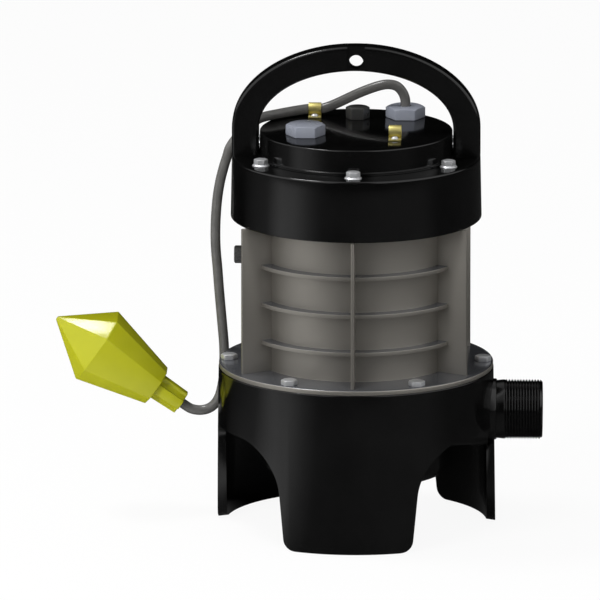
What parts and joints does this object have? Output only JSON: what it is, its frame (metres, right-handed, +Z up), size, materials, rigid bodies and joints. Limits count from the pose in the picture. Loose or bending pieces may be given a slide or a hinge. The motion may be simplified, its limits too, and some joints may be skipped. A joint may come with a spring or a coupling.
{
  "type": "submersible pump",
  "caption": "Upright submersible drainage pump with arched skirt base, side threaded discharge, finned metal motor casing, black cap with arch handle and a float switch on its cable.",
  "frame": {"origin": "on the ground under the middle of the pump and its discharge, without the float and its cable", "axes": "+X out of the discharge, +Z up along the motor shaft, -Y towards the front foot"},
  "size_m": [0.394, 0.2239, 0.3949],
  "materials": {
    "base_black": "gloss black paint on cast metal",
    "cap_black": "gloss black paint",
    "outlet_black": "gloss black, threaded",
    "cast_grey": "plain casting",
    "stainless": "plain steel",
    "bearing_steel": "ground steel",
    "zinc_bolt": "bright zinc",
    "fitting_metal": "satin blue-grey",
    "plug_dark": "satin dark grey",
    "clip_brass": "yellow passivated",
    "casing_metal": "polished metal",
    "lamination": "laminated electrical steel",
    "copper": "enamelled copper",
    "rotor_aluminium": "cast",
    "impeller_iron": "black coated casting",
    "ceramic": "smooth white",
    "block_plastic": "off-white",
    "seal_rubber": "black",
    "cable_rubber": "grey rubber sheath",
    "float_plastic": "glossy yellow-green"
  },
  "bodies": {
    "pump": {"pump_base": "base_black", "suction_cover": "cast_grey", "suction_cover_screws": "stainless", "discharge_nipple": "outlet_black", "seal_plate": "cast_grey", "seal_seat": "ceramic", "bearing_plate": "cast_grey", "oil_seal": "seal_rubber", "lower_bearing_outer": "bearing_steel", "lower_bearing_balls": "bearing_steel", "base_gasket": "seal_rubber", "motor_casing": "casing_metal", "cooling_rings": "casing_metal", "cooling_fins": "casing_metal", "flange_bolts": "zinc_bolt", "casing_fill_plug": "plug_dark", "fill_plug_washer": "clip_brass", "stator_core": "lamination", "stator_windings": "copper", "upper_bearing_bracket": "cast_grey", "upper_bearing_outer": "bearing_steel", "upper_bearing_balls": "bearing_steel", "bracket_screws": "stainless", "cap_gasket": "seal_rubber", "top_cap": "cap_black", "cap_bolts": "zinc_bolt", "start_capacitor": "ceramic", "terminal_block": "block_plastic", "cover_gasket": "seal_rubber", "terminal_cover": "cap_black", "cover_screws": "stainless", "carry_handle": "cap_black", "handle_legs": "cap_black", "handle_screws": "stainless", "float_gland_nut": "fitting_metal", "float_gland_bush": "seal_rubber", "mains_gland_nut": "fitting_metal", "mains_gland_bush": "seal_rubber", "test_plug": "plug_dark", "cable_clip_rear": "clip_brass", "cable_clip_front": "clip_brass", "clip_screws": "zinc_bolt", "float_cable": "cable_rubber"},
    "rotor": {"motor_shaft": "stainless", "rotor_core": "lamination", "rotor_cage": "rotor_aluminium", "lower_bearing_inner": "bearing_steel", "upper_bearing_inner": "bearing_steel", "seal_rotor": "seal_rubber", "impeller": "impeller_iron", "impeller_washer": "stainless", "impeller_nut": "stainless", "impeller_key": "stainless"},
    "float": {"float_nose": "float_plastic", "float_cone": "float_plastic", "float_collet": "float_plastic", "float_lead": "cable_rubber", "float_switch": "block_plastic"}
  },
  "joints": [
    {"name": "rotor_spin", "type": "hinge", "parent": "pump", "child": "rotor", "pos_m": [-0.0189, 0, 0.095], "axis": [0, 0, 1], "continuous": true},
    {"name": "float_swing", "type": "hinge", "parent": "pump", "child": "float", "pos_m": [-0.1573, 0.043, 0.0853], "axis": [0, 1, 0], "range_deg": [-70, 40]}
  ]
}
